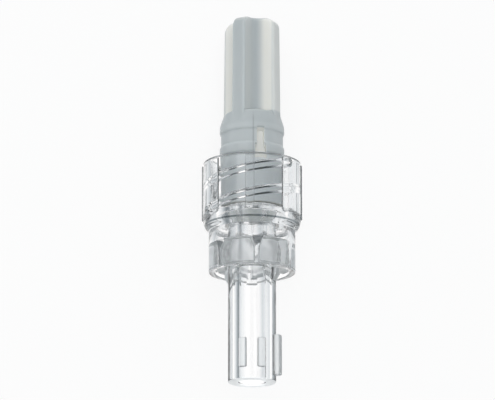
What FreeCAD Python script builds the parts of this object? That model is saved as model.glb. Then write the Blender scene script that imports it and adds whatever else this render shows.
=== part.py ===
"""Luer lock connector for fine tubing, with a loose locking collar and a pull-off cap.

A clear tubular body ends in a tapered luer tip.  A clear collar with a two-start
thread inside spins on the body, held between a flange and two stop lugs.  A
translucent cap with a cross-shaped handle covers the tip until the connector is used.

Millimetres.  Each piece is turned and cut about a vertical axis, with the tube end at
height 0, and the whole connector is then laid on its side along +Y, tube end first.
An angle about the axis is 0 where the finished part faces up, and grows towards +X.
"""
import FreeCAD, Part
import math
import os

Vector = FreeCAD.Vector
CENTRE = Vector(0, 0, 0)
AXIS = Vector(0, 0, 1)

# Body: tube with a socket for the tubing, flange, luer tip
tube_radius = 2.32
tube_length = 16.6
socket_radius = 1.29
socket_depth = 11.2
lumen_radius = 1.05
flange_radius = 2.85
flange_thickness = 0.45
luer_length = 7.65
luer_tip_radius = 1.98
luer_taper = 0.06            # loss of diameter for each millimetre of length
body_edge = 0.12             # small bevel on the body's rims

# Lugs on the outside of the tube
key_tab_angle = 47.5
key_tab_height = 0.68        # above the tube's wall, as for the other lugs
key_tab_thickness = 0.73
key_tab_start = 0.5
key_tab_length = 4.0
key_tab_corner = 0.2
finger_lug_angles = (-42.5, 2.5)
finger_lug_height = 0.22
finger_lug_width = 0.8
finger_lug_start = 1.1
finger_lug_length = 2.9
stop_lug_angles = (44.0, 224.0)
stop_lug_bite = 0.25         # reach past the inside of the collar's teeth
stop_lug_width = 0.8
stop_lug_length = 1.3
stop_lug_ramp = 0.6

# Collar: threaded cup above a floor, toothed skirt below it
spin_clearance = 0.08        # round the tube, in the floor's hole
end_play = 0.1               # under the flange and over the stop lugs
floor_thickness = 1.4
cup_depth = 5.2
cup_wall = 0.75
skirt_inset = 0.55           # the skirt's outside stands this far inside the cup's
skirt_wall = 0.6
shoulder_height = 1.0
shoulder_drop = 0.2          # the shoulder's foot lies this far below the floor
groove_height = 1.5          # plain band between the floor and the teeth
tooth_height = 2.4
tooth_clearance = 0.18       # between the teeth and the tube
tooth_recess = 0.4           # the teeth stop this short of the skirt's rim
collar_edge = 0.12
slot_count = 6
slot_width = 0.45
slot_mouth_width = 1.1
slot_mouth_height = 0.9
slot_first_angle = -12.0
key_slot_index = 3           # the slot that is wide and deep enough for the key tab
key_slot_clearance = 0.08

# Thread inside the cup, two starts
thread_major_radius = 4.0
thread_minor_radius = 3.5
thread_lead = 5.0
thread_starts = 2
thread_crest_width = 0.42
thread_root_width = 0.9
thread_top_gap = 0.1         # between the ridge's upper end and the rim
thread_top_angle = 36.0

# Grip ribs on the cup
rib_count = 8
rib_width = 0.85
rib_height = 0.12
rib_top_gap = 0.3
rib_foot_gap = 0.1           # between the rib's round foot and the shoulder
rib_first_angle = 22.5

# Cap: bored barrel, cross-shaped handle
cap_end_gap = 0.1            # above the flange
cap_bore_clearance = 0.05    # round the luer tip
cap_tip_gap = 0.3            # past the end of the tip
cap_crown_thickness = 1.5
barrel_radius = 3.02
barrel_edge = 0.12
bore_lead = 0.15
bead_height = 0.12
lower_bead_gap = 0.5         # above the collar's rim
lower_bead_width = 1.1
upper_bead_width = 0.8
barrel_shoulder_height = 1.2
barrel_shoulder_radius = 2.75
vent_count = 2               # the first is midway between two fins
vent_width = 0.75
vent_depth = 0.35
handle_length = 9.8
handle_foot_radius = 2.87
handle_top_radius = 2.75
handle_top_corner = 1.0
handle_top_crown = 0.2       # rise of the handle's top from its round corners to its middle
handle_dome = 0.7            # rise of the barrel's crown towards the handle's core
fin_thickness = 1.38
fin_root_fillet = 0.7
fin_first_angle = -49.0

# Places worked out from the sizes above
flange_top = tube_length + flange_thickness
luer_tip = flange_top + luer_length
floor_top = tube_length - end_play
floor_underside = floor_top - floor_thickness
collar_rim = floor_top + cup_depth
cup_radius = thread_major_radius + cup_wall
skirt_radius = cup_radius - skirt_inset
skirt_inner_radius = skirt_radius - skirt_wall
shoulder_foot = floor_underside - shoulder_drop
shoulder_top = shoulder_foot + shoulder_height
teeth_top = floor_underside - groove_height
teeth_foot = teeth_top - tooth_height
collar_foot = teeth_foot - tooth_recess
tooth_inner_radius = tube_radius + tooth_clearance
hole_radius = tube_radius + spin_clearance
key_tab_reach = tube_radius + key_tab_height
stop_lug_top = teeth_foot - end_play
barrel_foot = flange_top + cap_end_gap
bore_end = luer_tip + cap_tip_gap
barrel_top = bore_end + cap_crown_thickness
bead_radius = barrel_radius + bead_height
lower_bead_top = collar_rim + lower_bead_gap + lower_bead_width
upper_bead_top = barrel_top - barrel_shoulder_height
upper_bead_foot = upper_bead_top - upper_bead_width
handle_top = barrel_top + handle_length

EMBED = 0.2                  # how far an added ridge or lug is sunk into its wall
BEYOND = 1.0                 # how far a cutting shape runs past what it cuts


def luer_radius(height):
    """Outer radius of the tapered tip at a height."""
    return luer_tip_radius + (luer_tip - height) * luer_taper / 2


def outline(steps):
    """Closed face in the radial plane.

    A step is (radius, height) for a straight line to that point, or
    (radius, height, via radius, via height) for an arc that ends there.
    """
    points = [Vector(step[0], 0, step[1]) for step in steps]
    edges = []
    for start, end, step in zip(points, points[1:] + points[:1], steps[1:] + steps[:1]):
        if len(step) == 4:
            via = Vector(step[2], 0, step[3])
            edges.append(Part.Arc(start, via, end).toShape())
        else:
            edges.append(Part.LineSegment(start, end).toShape())
    return Part.Face(Part.Wire(edges))


def turned(steps):
    """Solid of revolution of an outline."""
    return outline(steps).revolve(CENTRE, AXIS, 360)


def cylinder(radius, low, high):
    return Part.makeCylinder(radius, high - low, Vector(0, 0, low), AXIS)


def at_angle(shape, angle):
    """Copy of a shape made at angle 0, which faces -Y here, turned about the axis."""
    copy = shape.copy()
    copy.rotate(CENTRE, AXIS, angle)
    return copy


def ring_of(shape, count, first_angle):
    return [at_angle(shape, first_angle + 360.0 * i / count) for i in range(count)]


def radial_prism(points, inner, outer):
    """Prism through the wall at angle 0, from points (across, height)."""
    corners = [Vector(across, -inner, height) for across, height in points]
    wire = Part.makePolygon(corners + corners[:1])
    return Part.Face(wire).extrude(Vector(0, inner - outer, 0))


def upright_prism(points, width):
    """Prism of a width, centred on angle 0, from points (radius, height)."""
    corners = [Vector(-width / 2, -radius, height) for radius, height in points]
    wire = Part.makePolygon(corners + corners[:1])
    return Part.Face(wire).extrude(Vector(width, 0, 0))


def tube_and_tip():
    """Tube, flange and luer tip, with the tubing socket and the lumen through them."""
    step_rise = socket_radius - lumen_radius
    return turned([
        (socket_radius + body_edge, 0),
        (tube_radius - body_edge, 0),
        (tube_radius, body_edge),
        (tube_radius, tube_length),
        (flange_radius, tube_length),
        (flange_radius, flange_top - body_edge),
        (flange_radius - body_edge, flange_top),
        (luer_radius(flange_top), flange_top),
        (luer_radius(luer_tip - body_edge), luer_tip - body_edge),
        (luer_tip_radius - body_edge, luer_tip),
        (lumen_radius, luer_tip),
        (lumen_radius, socket_depth + step_rise),
        (socket_radius, socket_depth),
        (socket_radius, body_edge),
    ])


def key_tab():
    """Thin fin with rounded corners, to key or turn the connector."""
    low = key_tab_start
    high = low + key_tab_length
    inner = tube_radius - EMBED
    corner = min(key_tab_corner, key_tab_height / 2)
    fin = upright_prism([
        (inner, low),
        (key_tab_reach, low),
        (key_tab_reach, high),
        (inner, high),
    ], key_tab_thickness)
    outer_corners = []
    for edge in fin.Edges:
        middle = edge.CenterOfMass
        if abs(middle.x) < 1e-6 and abs(-middle.y - key_tab_reach) < 1e-6:
            outer_corners.append(edge)
    return at_angle(fin.makeFillet(corner, outer_corners), key_tab_angle)


def finger_lug(angle):
    """Low raised pad on the tube."""
    half = finger_lug_width / 2
    low = finger_lug_start
    high = low + finger_lug_length
    pad = radial_prism([(-half, low), (half, low), (half, high), (-half, high)],
                       tube_radius - EMBED, tube_radius + finger_lug_height + BEYOND)
    shell = cylinder(tube_radius + finger_lug_height, low, high)
    return at_angle(pad.common(shell), angle)


def stop_lug(angle):
    """Ramped lug that lets the collar on past the teeth and not off again."""
    inner = tube_radius - EMBED
    reach = tooth_inner_radius + stop_lug_bite
    low = stop_lug_top - stop_lug_length
    lug = upright_prism([
        (inner, low),
        (tube_radius, low),
        (reach, low + stop_lug_ramp),
        (reach, stop_lug_top),
        (inner, stop_lug_top),
    ], stop_lug_width)
    return at_angle(lug, angle)


def male_luer_body():
    lugs = [key_tab()]
    lugs += [finger_lug(angle) for angle in finger_lug_angles]
    lugs += [stop_lug(angle) for angle in stop_lug_angles]
    return tube_and_tip().multiFuse(lugs).removeSplitter()


def collar_blank():
    """Cup, floor, skirt and the ring that the teeth are cut from."""
    arc_radius = (skirt_inset ** 2 + shoulder_height ** 2) / (2 * skirt_inset)
    half_turn = math.asin(shoulder_height / arc_radius) / 2
    via_radius = cup_radius - arc_radius * (1 - math.cos(half_turn))
    via_height = shoulder_top - arc_radius * math.sin(half_turn)
    return turned([
        (skirt_inner_radius, collar_foot),
        (skirt_radius - collar_edge, collar_foot),
        (skirt_radius, collar_foot + collar_edge),
        (skirt_radius, shoulder_foot),
        (cup_radius, shoulder_top, via_radius, via_height),
        (cup_radius, collar_rim - collar_edge),
        (cup_radius - collar_edge, collar_rim),
        (thread_major_radius + collar_edge, collar_rim),
        (thread_major_radius, collar_rim - collar_edge),
        (thread_major_radius, floor_top),
        (hole_radius, floor_top),
        (hole_radius, floor_underside),
        (skirt_inner_radius, floor_underside),
        (skirt_inner_radius, teeth_top),
        (tooth_inner_radius, teeth_top),
        (tooth_inner_radius, teeth_foot),
        (skirt_inner_radius, teeth_foot),
    ])


def thread_ridge():
    """One start of the thread: a ridge with sloping flanks, swept up a helix."""
    low = floor_top + thread_crest_width / 2
    high = collar_rim - thread_top_gap - thread_root_width / 2
    flank = (thread_root_width - thread_crest_width) / 2
    slope = flank / (thread_major_radius - thread_minor_radius)
    sunk_half = thread_root_width / 2 + slope * EMBED
    sunk_radius = thread_major_radius + EMBED
    profile = Part.makePolygon([
        Vector(thread_minor_radius, 0, -thread_crest_width / 2),
        Vector(sunk_radius, 0, -sunk_half),
        Vector(sunk_radius, 0, sunk_half),
        Vector(thread_minor_radius, 0, thread_crest_width / 2),
        Vector(thread_minor_radius, 0, -thread_crest_width / 2),
    ])
    helix = Part.makeHelix(thread_lead, high - low, thread_major_radius)
    ridge = Part.Wire(helix.Edges).makePipeShell([profile], True, True)
    ridge.translate(Vector(0, 0, low))
    turn = 360 * (high - low) / thread_lead
    ridge.rotate(CENTRE, AXIS, thread_top_angle - 90 - turn)
    return ridge


def grip_rib():
    """Low pad down the cup's wall, with a round foot."""
    half = rib_width / 2
    low = shoulder_top + rib_foot_gap
    high = collar_rim - rib_top_gap
    inner = -(cup_radius - EMBED)
    edges = [
        Part.LineSegment(Vector(half, inner, low + half), Vector(half, inner, high)),
        Part.LineSegment(Vector(half, inner, high), Vector(-half, inner, high)),
        Part.LineSegment(Vector(-half, inner, high), Vector(-half, inner, low + half)),
        Part.Arc(Vector(-half, inner, low + half), Vector(0, inner, low),
                 Vector(half, inner, low + half)),
    ]
    face = Part.Face(Part.Wire([edge.toShape() for edge in edges]))
    pad = face.extrude(Vector(0, -BEYOND, 0))
    return pad.common(cylinder(cup_radius + rib_height, low - BEYOND, collar_rim))


def tooth_slot():
    """Slot between two teeth, opening into a notch at their top."""
    half = slot_width / 2
    mouth = slot_mouth_width / 2
    mouth_foot = teeth_top - slot_mouth_height
    slot = radial_prism([
        (-half, teeth_foot - BEYOND),
        (half, teeth_foot - BEYOND),
        (half, mouth_foot),
        (mouth, teeth_top),
        (-mouth, teeth_top),
        (-half, mouth_foot),
    ], tooth_inner_radius - BEYOND, skirt_radius)
    return slot.common(cylinder(skirt_inner_radius, teeth_foot, teeth_top))


def key_slot():
    """Slot through the teeth and the floor that the key tab passes at assembly."""
    half = key_tab_thickness / 2 + key_slot_clearance
    reach = key_tab_reach + key_slot_clearance
    slot = radial_prism([
        (-half, teeth_foot - BEYOND),
        (half, teeth_foot - BEYOND),
        (half, floor_top + BEYOND),
        (-half, floor_top + BEYOND),
    ], 0, cup_radius)
    slot = slot.common(cylinder(reach, teeth_foot - BEYOND, floor_top + BEYOND))
    return at_angle(slot, slot_first_angle + 360.0 * key_slot_index / slot_count)


def spin_collar():
    added = ring_of(thread_ridge(), thread_starts, 0)
    added += ring_of(grip_rib(), rib_count, rib_first_angle)
    cut = ring_of(tooth_slot(), slot_count, slot_first_angle)
    cut.append(key_slot())
    return collar_blank().multiFuse(added).cut(cut).removeSplitter()


def cap_barrel():
    """Barrel with its bore, the two beads round it and the crown under the handle."""
    def bore_radius(height):
        return luer_radius(height) + cap_bore_clearance

    crown_radius = fin_thickness / 2
    barrel = turned([
        (bore_radius(barrel_foot) + bore_lead, barrel_foot),
        (barrel_radius - barrel_edge, barrel_foot),
        (barrel_radius, barrel_foot + barrel_edge),
        (barrel_radius, upper_bead_top),
        (barrel_shoulder_radius, barrel_top),
        (crown_radius, barrel_top + handle_dome),
        (0, barrel_top + handle_dome),
        (0, bore_end),
        (bore_radius(bore_end), bore_end),
        (bore_radius(barrel_foot + bore_lead), barrel_foot + bore_lead),
    ])
    lower_bead = bead(lower_bead_top - lower_bead_width, lower_bead_top)
    upper_bead = bead(upper_bead_foot, upper_bead_top)
    return barrel.fuse([lower_bead, upper_bead])


def bead(low, high):
    """Raised band round the barrel, bevelled at both edges."""
    inner = barrel_radius - EMBED
    bevel = bead_height
    return turned([
        (inner, low),
        (barrel_radius, low),
        (bead_radius, low + bevel),
        (bead_radius, high - bevel),
        (barrel_radius, high),
        (inner, high),
    ])


def vent_groove():
    """Shallow flat-bottomed groove up the barrel, from the collar to the upper bead."""
    half = vent_width / 2
    low = lower_bead_top - lower_bead_width - vent_width
    floor = barrel_radius - vent_depth
    return radial_prism([
        (-half, low),
        (half, low),
        (half, upper_bead_foot),
        (-half, upper_bead_foot),
    ], floor, bead_radius + BEYOND)


def cross_handle():
    """Four fins on a filleted core, with round outer corners at the top."""
    foot = bore_end + cap_crown_thickness / 2
    height = handle_top - foot
    half = fin_thickness / 2
    span = 2 * (handle_foot_radius + BEYOND)
    plate = Part.makeBox(span, fin_thickness, height, Vector(-span / 2, -half, foot))
    cross = plate.fuse(at_angle(plate, 90)).removeSplitter()
    roots = []
    for edge in cross.Edges:
        middle = edge.CenterOfMass
        if abs(abs(middle.x) - half) < 1e-6 and abs(abs(middle.y) - half) < 1e-6:
            roots.append(edge)
    cross = cross.makeFillet(fin_root_fillet, roots)
    corner = handle_top_corner
    diagonal = corner * math.sqrt(0.5)
    corner_top = handle_top - handle_top_crown
    envelope = turned([
        (0, foot),
        (handle_foot_radius, foot),
        (handle_foot_radius, barrel_top),
        (handle_top_radius, corner_top - corner),
        (handle_top_radius - corner, corner_top,
         handle_top_radius - corner + diagonal, corner_top - corner + diagonal),
        (0, handle_top),
    ])
    return at_angle(cross.common(envelope), fin_first_angle)


def protective_cap():
    vents = ring_of(vent_groove(), vent_count, fin_first_angle + 45)
    return cap_barrel().cut(vents).fuse(cross_handle()).removeSplitter()


def laid_down(shape):
    """On its side along +Y, on the collar's wall, centred end to end."""
    shape.rotate(CENTRE, Vector(1, 0, 0), -90)
    shape.translate(Vector(0, -handle_top / 2, cup_radius))
    return shape


pieces = {
    "male_luer_body": male_luer_body(),
    "spin_collar": spin_collar(),
    "protective_cap": protective_cap(),
}
os.makedirs("parts", exist_ok=True)
for name, shape in pieces.items():
    laid_down(shape).exportStep("parts/" + name + ".step")
    print(name, "valid", shape.isValid(), "solids", len(shape.Solids),
          "volume", round(shape.Volume, 2), "mm3")
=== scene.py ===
"""Looks of a luer lock connector: a clear tube with a tapered tip, a clear threaded
collar that spins on it, and a milky pull-off cap with a cross-shaped handle.

Shapes are built in millimetres about the connector's axis, with the tube end at
station 0 and the cap towards +Y.  An angle about the axis is 0 straight up and grows
towards +X.  Each finished piece is then moved to where the frame has it, in metres.
"""

import math

import bmesh
import bpy
from mathutils import Matrix, Vector


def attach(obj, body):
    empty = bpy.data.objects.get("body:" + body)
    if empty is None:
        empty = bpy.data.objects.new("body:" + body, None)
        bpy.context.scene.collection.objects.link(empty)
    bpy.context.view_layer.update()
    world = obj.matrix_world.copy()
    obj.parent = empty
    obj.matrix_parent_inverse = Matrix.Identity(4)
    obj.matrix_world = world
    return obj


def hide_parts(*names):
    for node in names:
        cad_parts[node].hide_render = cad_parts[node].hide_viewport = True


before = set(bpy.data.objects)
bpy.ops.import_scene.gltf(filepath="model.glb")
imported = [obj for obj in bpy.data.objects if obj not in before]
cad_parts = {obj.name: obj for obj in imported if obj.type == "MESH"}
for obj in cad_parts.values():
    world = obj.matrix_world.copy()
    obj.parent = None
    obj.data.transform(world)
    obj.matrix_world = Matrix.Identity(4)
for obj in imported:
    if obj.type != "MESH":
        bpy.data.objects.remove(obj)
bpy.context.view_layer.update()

MM = 0.001

# Body
TUBE_RADIUS = 2.32
TUBE_LENGTH = 16.6
SOCKET_RADIUS = 1.29
SOCKET_DEPTH = 11.2
LUMEN_RADIUS = 1.05
FLANGE_RADIUS = 2.85
FLANGE_THICKNESS = 0.45
LUER_LENGTH = 7.65
LUER_TIP_RADIUS = 1.98
LUER_TAPER = 0.06
BODY_EDGE = 0.12

# Lugs on the tube
KEY_TAB_ANGLE = 47.5
KEY_TAB_HEIGHT = 0.68
KEY_TAB_THICKNESS = 0.73
KEY_TAB_START = 0.5
KEY_TAB_LENGTH = 4.0
KEY_TAB_CORNER = 0.2
FINGER_LUG_ANGLES = (-42.5, 2.5)
FINGER_LUG_HEIGHT = 0.22
FINGER_LUG_WIDTH = 0.8
FINGER_LUG_START = 1.1
FINGER_LUG_LENGTH = 2.9
FINGER_LUG_EDGE = 0.14
STOP_LUG_ANGLES = (44.0, 224.0)
STOP_LUG_BITE = 0.25
STOP_LUG_WIDTH = 0.8
STOP_LUG_LENGTH = 1.3
STOP_LUG_RAMP = 0.6

# Collar
SPIN_CLEARANCE = 0.08
END_PLAY = 0.1
FLOOR_THICKNESS = 1.4
CUP_DEPTH = 5.2
CUP_WALL = 0.75
SKIRT_INSET = 0.55
SKIRT_WALL = 0.6
SHOULDER_HEIGHT = 1.0
SHOULDER_DROP = 0.2
GROOVE_HEIGHT = 1.5
TOOTH_HEIGHT = 2.4
TOOTH_CLEARANCE = 0.18
TOOTH_RECESS = 0.4
COLLAR_EDGE = 0.12
SLOT_COUNT = 6
SLOT_WIDTH = 0.45
SLOT_MOUTH_WIDTH = 1.1
SLOT_MOUTH_HEIGHT = 0.9
SLOT_FIRST_ANGLE = -12.0
KEY_SLOT_INDEX = 3
KEY_SLOT_CLEARANCE = 0.08

# Thread in the collar
THREAD_MAJOR_RADIUS = 4.0
THREAD_MINOR_RADIUS = 3.5
THREAD_LEAD = 5.0
THREAD_STARTS = 2
THREAD_CREST_WIDTH = 0.42
THREAD_ROOT_WIDTH = 0.9
THREAD_TOP_GAP = 0.1
THREAD_TOP_ANGLE = 36.0

# Grip ribs on the collar
RIB_COUNT = 8
RIB_WIDTH = 0.85
RIB_HEIGHT = 0.12
RIB_TOP_GAP = 0.3
RIB_FOOT_GAP = 0.1
RIB_FIRST_ANGLE = 22.5
RIB_EDGE = 0.09

# Cap
CAP_END_GAP = 0.1
CAP_BORE_CLEARANCE = 0.05
CAP_TIP_GAP = 0.3
CAP_CROWN_THICKNESS = 1.5
BARREL_RADIUS = 3.02
BARREL_EDGE = 0.12
BORE_LEAD = 0.15
BEAD_HEIGHT = 0.12
LOWER_BEAD_GAP = 0.5
LOWER_BEAD_WIDTH = 1.1
UPPER_BEAD_WIDTH = 0.8
BARREL_SHOULDER_HEIGHT = 1.2
BARREL_SHOULDER_RADIUS = 2.75
VENT_COUNT = 2
VENT_WIDTH = 0.75
VENT_DEPTH = 0.35
VENT_FOOT_WIDTH = 1.1
VENT_FOOT_RISE = 0.45        # above the foot of the lower bead
HANDLE_LENGTH = 9.8
HANDLE_FOOT_RADIUS = 2.87
HANDLE_TOP_RADIUS = 2.75
HANDLE_TOP_CORNER = 1.0
HANDLE_TOP_CROWN = 0.2
HANDLE_DOME = 0.7
FIN_THICKNESS = 1.38
FIN_ROOT_FILLET = 0.7
FIN_EDGE = 0.2
FIN_FIRST_ANGLE = -49.0

# Stations and radii worked out from the sizes above
FLANGE_TOP = TUBE_LENGTH + FLANGE_THICKNESS
LUER_TIP = FLANGE_TOP + LUER_LENGTH
FLOOR_TOP = TUBE_LENGTH - END_PLAY
FLOOR_UNDERSIDE = FLOOR_TOP - FLOOR_THICKNESS
COLLAR_RIM = FLOOR_TOP + CUP_DEPTH
CUP_RADIUS = THREAD_MAJOR_RADIUS + CUP_WALL
SKIRT_RADIUS = CUP_RADIUS - SKIRT_INSET
SKIRT_INNER_RADIUS = SKIRT_RADIUS - SKIRT_WALL
SHOULDER_FOOT = FLOOR_UNDERSIDE - SHOULDER_DROP
SHOULDER_TOP = SHOULDER_FOOT + SHOULDER_HEIGHT
TEETH_TOP = FLOOR_UNDERSIDE - GROOVE_HEIGHT
TEETH_FOOT = TEETH_TOP - TOOTH_HEIGHT
COLLAR_FOOT = TEETH_FOOT - TOOTH_RECESS
TOOTH_INNER_RADIUS = TUBE_RADIUS + TOOTH_CLEARANCE
HOLE_RADIUS = TUBE_RADIUS + SPIN_CLEARANCE
KEY_TAB_REACH = TUBE_RADIUS + KEY_TAB_HEIGHT
STOP_LUG_TOP = TEETH_FOOT - END_PLAY
BARREL_FOOT = FLANGE_TOP + CAP_END_GAP
BORE_END = LUER_TIP + CAP_TIP_GAP
BARREL_TOP = BORE_END + CAP_CROWN_THICKNESS
LOWER_BEAD_TOP = COLLAR_RIM + LOWER_BEAD_GAP + LOWER_BEAD_WIDTH
UPPER_BEAD_TOP = BARREL_TOP - BARREL_SHOULDER_HEIGHT
UPPER_BEAD_FOOT = UPPER_BEAD_TOP - UPPER_BEAD_WIDTH
HANDLE_TOP = BARREL_TOP + HANDLE_LENGTH

EMBED = 0.2          # how far an added form is sunk into its wall
BEYOND = 1.0         # how far a cutter runs past what it cuts
SHELL_GAP = 0.001    # kept between a cutter and a wall that it must not touch
CORNER_SHARE = 0.2   # of a thin form's width, in the rounding of its corners
NEARLY = 0.98        # of half a width, in a rounding that must leave a flat
TURN_STEPS = 192     # faces round a turned wall
ROUND_STEPS = 4      # faces across a small rounding
EDGE_STEPS = 3       # and across a rounded rim
WELD = 1e-5          # points nearer than this are one
MERGE = 1e-4         # shortest edge kept in an outline or a finished piece
PARALLEL = 0.99      # cosine past which an edge counts as running along an axis
SHARP = 1.0          # radians between two faces, past which their edge is rounded
SMOOTH_ANGLE = math.radians(32)


# Building blocks

def axis_turn(angle):
    """Turn about the connector's axis, by degrees."""
    return Matrix.Rotation(math.radians(angle), 3, "Y")


def rounded_face(corners):
    """One flat face in the plane of angle 0, from (radius, station, rounding)."""
    bm = bmesh.new()
    verts = [bm.verts.new((0, station, radius)) for radius, station, _ in corners]
    bm.faces.new(verts)
    for vert, corner in zip(verts, corners):
        if corner[2]:
            bmesh.ops.bevel(bm, geom=[vert], offset=corner[2], affect="VERTICES",
                            segments=ROUND_STEPS, profile=0.5, material=-1)
    bmesh.ops.remove_doubles(bm, verts=bm.verts, dist=MERGE)
    return bm


def turned(corners):
    """Closed shell turned about the axis from an outline of rounded corners."""
    bm = rounded_face(corners)
    bmesh.ops.delete(bm, geom=bm.faces[:], context="FACES_ONLY")
    on_axis = [edge for edge in bm.edges if all(abs(v.co.z) < WELD for v in edge.verts)]
    bmesh.ops.delete(bm, geom=on_axis, context="EDGES")
    bmesh.ops.spin(bm, geom=bm.verts[:] + bm.edges[:], cent=(0, 0, 0), axis=(0, 1, 0),
                   angle=math.tau, steps=TURN_STEPS, use_merge=True)
    return welded(bm)


def welded(bm):
    bmesh.ops.remove_doubles(bm, verts=bm.verts, dist=WELD)
    bmesh.ops.recalc_face_normals(bm, faces=bm.faces)
    return bm


def cylinder(radius, low, high):
    return turned([(0, low, 0), (radius, low, 0), (radius, high, 0), (0, high, 0)])


def block(across, stations, radii):
    """Box at angle 0: its width across, and where it starts and ends."""
    size = Vector((across, stations[1] - stations[0], radii[1] - radii[0]))
    centre = Vector((0, sum(stations) / 2, sum(radii) / 2))
    bm = bmesh.new()
    bmesh.ops.create_cube(bm, size=1, matrix=Matrix.LocRotScale(centre, None, size))
    return bm


def bevelled(bm, width, steps, test):
    """Round the edges whose middle passes a test."""
    edges = [e for e in bm.edges if test((e.verts[0].co + e.verts[1].co) / 2, e)]
    bmesh.ops.bevel(bm, geom=edges, offset=width, affect="EDGES", segments=steps,
                    profile=0.5, material=-1)
    return bm


def soft_topped(pad, wall_radius, width):
    """Round the rim of a low pad that stands on a round wall."""
    pad = welded(pad)
    return bevelled(pad, width, EDGE_STEPS,
                    lambda middle, edge: math.hypot(middle.x, middle.z) > wall_radius
                    and edge.calc_face_angle(0) > SHARP and not along(edge, 2))


def along(edge, direction):
    """Whether an edge runs along X, Y or Z, given as 0, 1 or 2."""
    line = (edge.verts[1].co - edge.verts[0].co).normalized()
    return abs(line[direction]) > PARALLEL


def spread(bm, angles):
    """Copies of a shape at several angles about the axis, as one mesh."""
    first = bm.verts[:] + bm.edges[:] + bm.faces[:]
    for angle in angles[1:]:
        copy = bmesh.ops.duplicate(bm, geom=first)["geom"]
        verts = [item for item in copy if isinstance(item, bmesh.types.BMVert)]
        bmesh.ops.rotate(bm, verts=verts, cent=(0, 0, 0), matrix=axis_turn(angle - angles[0]))
    bmesh.ops.rotate(bm, verts=bm.verts, cent=(0, 0, 0), matrix=axis_turn(angles[0]))
    return bm


def round_the_axis(count, first_angle):
    return [first_angle + 360 * i / count for i in range(count)]


def temporary(bm):
    mesh = bpy.data.meshes.new("temporary")
    bm.to_mesh(mesh)
    bm.free()
    thing = bpy.data.objects.new("temporary", mesh)
    bpy.context.scene.collection.objects.link(thing)
    return thing


def combined(base, tool, operation):
    """Two closed shells made one by a boolean: UNION, DIFFERENCE or INTERSECT."""
    base_thing = temporary(base)
    tool_thing = temporary(tool)
    modifier = base_thing.modifiers.new("boolean", "BOOLEAN")
    modifier.operation = operation
    modifier.solver = "EXACT"
    modifier.object = tool_thing
    graph = bpy.context.evaluated_depsgraph_get()
    mesh = bpy.data.meshes.new_from_object(base_thing.evaluated_get(graph))
    result = bmesh.new()
    result.from_mesh(mesh)
    bpy.data.meshes.remove(mesh)
    for thing in (base_thing, tool_thing):
        bpy.data.meshes.remove(thing.data)
    return result


def finished(name, bm, body, node, material):
    """Piece in its place in the frame, in metres, standing for a node of the frame."""
    bmesh.ops.dissolve_degenerate(bm, edges=bm.edges, dist=MERGE)
    bmesh.ops.translate(bm, verts=bm.verts, vec=(0, -HANDLE_TOP / 2, CUP_RADIUS))
    bmesh.ops.scale(bm, verts=bm.verts, vec=(MM, MM, MM))
    mesh = bpy.data.meshes.new(name)
    bm.to_mesh(mesh)
    bm.free()
    mesh.shade_smooth()
    mesh.set_sharp_from_angle(angle=SMOOTH_ANGLE)
    mesh.materials.append(material)
    piece = bpy.data.objects.new(name, mesh)
    bpy.context.scene.collection.objects.link(piece)
    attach(piece, body)
    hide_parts(node)
    return piece


# Body

def luer_radius(station):
    """Outer radius of the tapered tip at a station."""
    return LUER_TIP_RADIUS + (LUER_TIP - station) * LUER_TAPER / 2


def tube_and_tip():
    step_rise = SOCKET_RADIUS - LUMEN_RADIUS
    return turned([
        (SOCKET_RADIUS + BODY_EDGE, 0, 0),
        (TUBE_RADIUS, 0, BODY_EDGE),
        (TUBE_RADIUS, TUBE_LENGTH, BODY_EDGE / 2),
        (FLANGE_RADIUS, TUBE_LENGTH, BODY_EDGE / 2),
        (FLANGE_RADIUS, FLANGE_TOP, BODY_EDGE),
        (luer_radius(FLANGE_TOP), FLANGE_TOP, BODY_EDGE),
        (LUER_TIP_RADIUS, LUER_TIP, BODY_EDGE),
        (LUMEN_RADIUS, LUER_TIP, BODY_EDGE / 2),
        (LUMEN_RADIUS, SOCKET_DEPTH + step_rise, 0),
        (SOCKET_RADIUS, SOCKET_DEPTH, 0),
        (SOCKET_RADIUS, BODY_EDGE, 0),
    ])


def key_tab():
    """Thin fin with rounded corners."""
    end = KEY_TAB_START + KEY_TAB_LENGTH
    fin = block(KEY_TAB_THICKNESS, (KEY_TAB_START, end), (TUBE_RADIUS - EMBED, KEY_TAB_REACH))
    fin = bevelled(fin, KEY_TAB_CORNER, ROUND_STEPS,
                   lambda middle, edge: along(edge, 0) and middle.z > KEY_TAB_REACH - WELD)
    fin = bevelled(fin, KEY_TAB_THICKNESS * CORNER_SHARE, EDGE_STEPS,
                   lambda middle, edge: abs(middle.x) > KEY_TAB_THICKNESS / 2 - WELD
                   and middle.z > TUBE_RADIUS - EMBED + WELD)
    return spread(fin, [KEY_TAB_ANGLE])


def finger_lugs():
    """Low pads on the tube, their tops round with it."""
    outer = TUBE_RADIUS + FINGER_LUG_HEIGHT
    end = FINGER_LUG_START + FINGER_LUG_LENGTH
    pad = block(FINGER_LUG_WIDTH, (FINGER_LUG_START, end), (TUBE_RADIUS - EMBED, outer + EMBED))
    pad = bevelled(pad, FINGER_LUG_WIDTH * CORNER_SHARE, ROUND_STEPS,
                   lambda middle, edge: along(edge, 2))
    limit = cylinder(outer, FINGER_LUG_START - BEYOND, end + BEYOND)
    pad = soft_topped(combined(pad, limit, "INTERSECT"), TUBE_RADIUS, FINGER_LUG_EDGE)
    return spread(pad, FINGER_LUG_ANGLES)


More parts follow.
